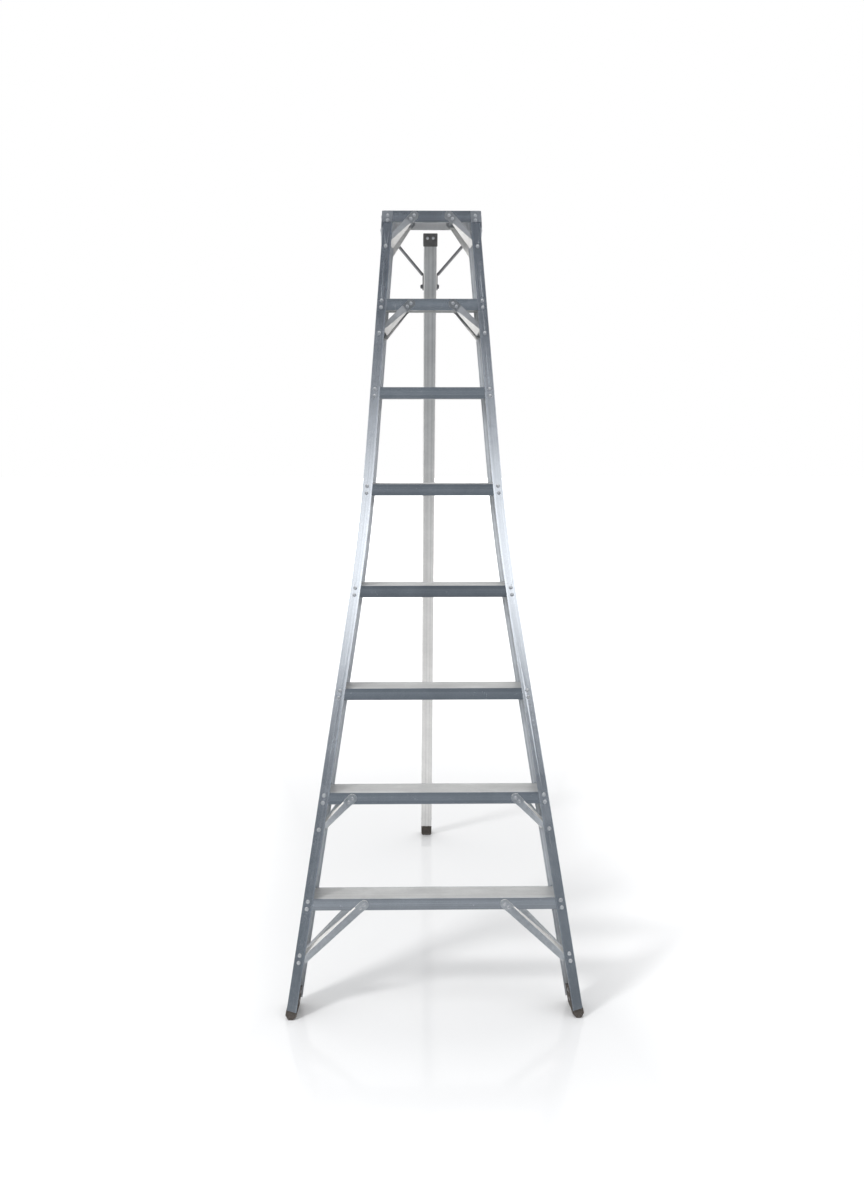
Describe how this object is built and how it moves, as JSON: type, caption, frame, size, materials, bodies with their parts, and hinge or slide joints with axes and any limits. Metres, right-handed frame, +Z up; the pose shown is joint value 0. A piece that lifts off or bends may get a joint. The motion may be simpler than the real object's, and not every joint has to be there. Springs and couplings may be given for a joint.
{
  "type": "orchard tripod ladder",
  "caption": "Orchard tripod ladder: flared aluminium climbing frame with riveted treads, knee braces and a deep top cap, and a folding rear pole on bent struts.",
  "frame": {"origin": "on the floor, on the mid-plane of the ladder, half way between the front of the front shoes and the back of the pole shoe", "axes": "+Z up, +X to the right of someone facing the treads, +Y from the climbing side towards the pole foot"},
  "size_m": [0.8618, 1.7616, 2.3464],
  "materials": {
    "rail_aluminium": "mill finish extrusion, fine die lines along the length",
    "tread_aluminium": "mill finish extrusion with a fine ribbed top",
    "cap_aluminium": "mill finish, lightly scuffed",
    "brace_aluminium": "pressed sheet, satin",
    "pole_aluminium": "mill finish square tube with shallow grooves",
    "plate_steel": "zinc plated plate, dull",
    "strut_steel": "zinc plated rod",
    "pole_cap_steel": "dark grey pressed cap, satin",
    "rivet_steel": "blind rivets, dull zinc",
    "zinc_steel": "bright zinc fasteners",
    "shoe_rubber": "moulded rubber, dusty dark brown grey"
  },
  "bodies": {
    "ladder": {"right_rail": "rail_aluminium", "left_rail": "rail_aluminium", "tread_1": "tread_aluminium", "tread_2": "tread_aluminium", "tread_3": "tread_aluminium", "tread_4": "tread_aluminium", "tread_5": "tread_aluminium", "tread_6": "tread_aluminium", "tread_7": "tread_aluminium", "top_cap": "cap_aluminium", "brace_1_front_right": "brace_aluminium", "brace_1_front_left": "brace_aluminium", "brace_1_rear_right": "brace_aluminium", "brace_1_rear_left": "brace_aluminium", "brace_2_front_right": "brace_aluminium", "brace_2_front_left": "brace_aluminium", "brace_2_rear_right": "brace_aluminium", "brace_2_rear_left": "brace_aluminium", "brace_7_front_right": "brace_aluminium", "brace_7_front_left": "brace_aluminium", "brace_7_rear_right": "brace_aluminium", "brace_7_rear_left": "brace_aluminium", "brace_cap_front_right": "brace_aluminium", "brace_cap_front_left": "brace_aluminium", "brace_cap_rear_right": "brace_aluminium", "brace_cap_rear_left": "brace_aluminium", "hinge_plate_right": "plate_steel", "hinge_plate_left": "plate_steel", "hinge_bushes": "zinc_steel", "stop_pins": "zinc_steel", "hinge_plate_bolts": "zinc_steel", "hinge_plate_nuts": "zinc_steel", "right_shoe": "shoe_rubber", "left_shoe": "shoe_rubber", "shoe_bolts": "zinc_steel", "shoe_nuts": "zinc_steel", "tread_rivets_front": "rivet_steel", "tread_rivets_rear": "rivet_steel", "brace_rivets": "rivet_steel", "cap_rivets": "rivet_steel"},
    "pole_leg": {"pole": "pole_aluminium", "pole_cap": "pole_cap_steel", "pole_cap_rivets": "rivet_steel", "strut_right": "strut_steel", "strut_left": "strut_steel", "strut_washers": "zinc_steel", "strut_bolt": "zinc_steel", "strut_nut": "zinc_steel", "hinge_washers": "zinc_steel", "hinge_caps": "zinc_steel", "pole_shoe": "shoe_rubber", "pole_shoe_rivet": "rivet_steel"}
  },
  "joints": [
    {"name": "pole_fold", "type": "hinge", "parent": "ladder", "child": "pole_leg", "pos_m": [0, -0.19683, 2.3015], "axis": [-1, 0, 0], "range_deg": [0, 36]}
  ]
}
